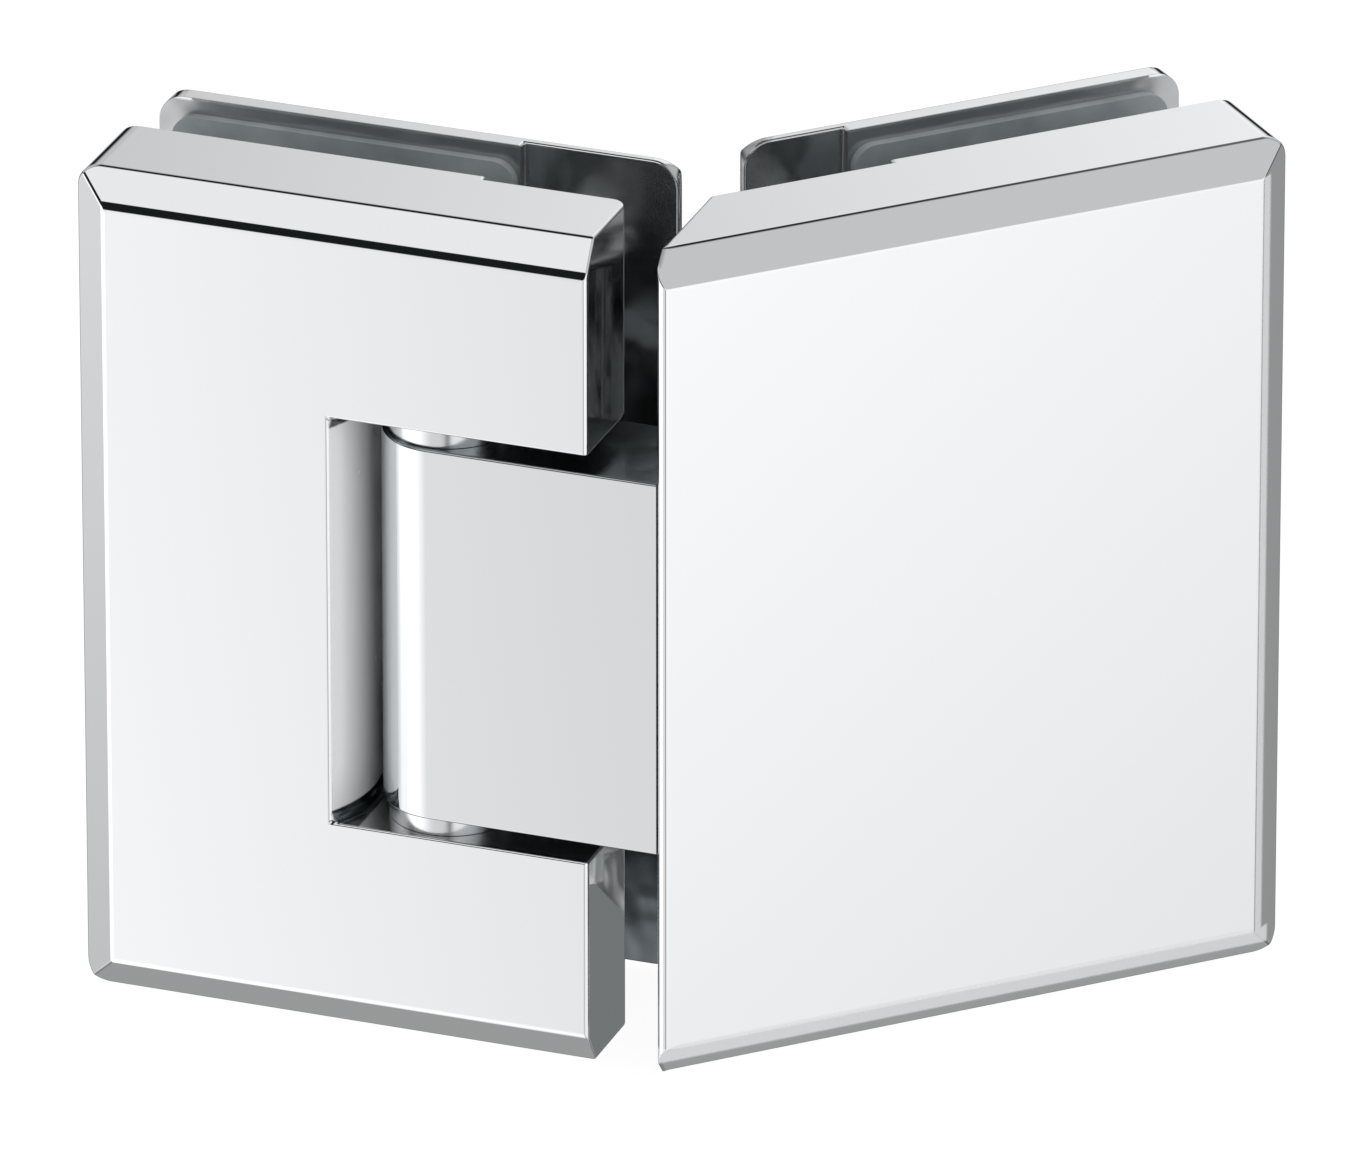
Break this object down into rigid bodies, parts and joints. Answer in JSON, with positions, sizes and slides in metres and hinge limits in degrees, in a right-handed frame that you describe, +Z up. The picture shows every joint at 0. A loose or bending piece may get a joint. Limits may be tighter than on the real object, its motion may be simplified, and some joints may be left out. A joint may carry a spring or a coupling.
{
  "type": "glass door hinge",
  "caption": "Glass-to-glass door hinge at 135 degrees: a C-shaped fixed leaf holds the pivot pin, the door leaf's knuckle turns on it, and bevelled plates clamp the glass.",
  "frame": {"origin": "on the pivot axis, level with the leaves' lower edges, at the lower end of the pin", "axes": "+X along the fixed leaf towards the door, +Y to the back, where the back plates are, +Z up along the pivot pin"},
  "size_m": [0.1104, 0.0649, 0.09],
  "materials": {
    "chrome": "polished chrome plate",
    "collar_chrome": "turned and chromed",
    "gasket": "clear soft sheet",
    "bush": "plain",
    "spring": "drawn wire",
    "pin_steel": "ground",
    "screw_steel": "bright"
  },
  "bodies": {
    "fixed_leaf": {"yoke_front_plate": "chrome", "yoke_back_plate": "chrome", "yoke_front_gasket": "gasket", "yoke_back_gasket": "gasket", "yoke_screw_edge_lower": "screw_steel", "yoke_screw_edge_upper": "screw_steel", "yoke_screw_notch_lower": "screw_steel", "yoke_screw_notch_upper": "screw_steel", "pivot_pin": "pin_steel", "pin_grub_screw_lower": "screw_steel", "pin_grub_screw_upper": "screw_steel", "collar_lower": "collar_chrome", "collar_upper": "collar_chrome"},
    "door_leaf": {"door_front_plate": "chrome", "door_back_plate": "chrome", "door_front_gasket": "gasket", "door_back_gasket": "gasket", "knuckle": "chrome", "door_screw_edge_lower": "screw_steel", "door_screw_edge_upper": "screw_steel", "door_screw_notch_lower": "screw_steel", "door_screw_notch_upper": "screw_steel", "knuckle_screw_lower": "screw_steel", "knuckle_screw_middle": "screw_steel", "knuckle_screw_upper": "screw_steel", "bush_lower": "bush", "bush_upper": "bush", "detent_spring_lower": "spring", "detent_spring_upper": "spring", "spring_plug_lower": "screw_steel", "spring_plug_upper": "screw_steel"},
    "plunger_lower": {"detent_plunger_lower": "pin_steel"},
    "plunger_upper": {"detent_plunger_upper": "pin_steel"}
  },
  "joints": [
    {"name": "door_swing", "type": "hinge", "parent": "fixed_leaf", "child": "door_leaf", "pos_m": [0, 0, 0], "axis": [0, 0, -1], "range_deg": [-20, 90]},
    {"name": "plunger_travel_lower", "type": "slide", "parent": "door_leaf", "child": "plunger_lower", "axis": [-1, 0, 0], "range_m": [0, 0.0003], "stiffness_N_per_m": 2000, "springref_m": 0.0003},
    {"name": "plunger_travel_upper", "type": "slide", "parent": "door_leaf", "child": "plunger_upper", "axis": [-1, 0, 0], "range_m": [0, 0.0003], "stiffness_N_per_m": 2000, "springref_m": 0.0003}
  ]
}
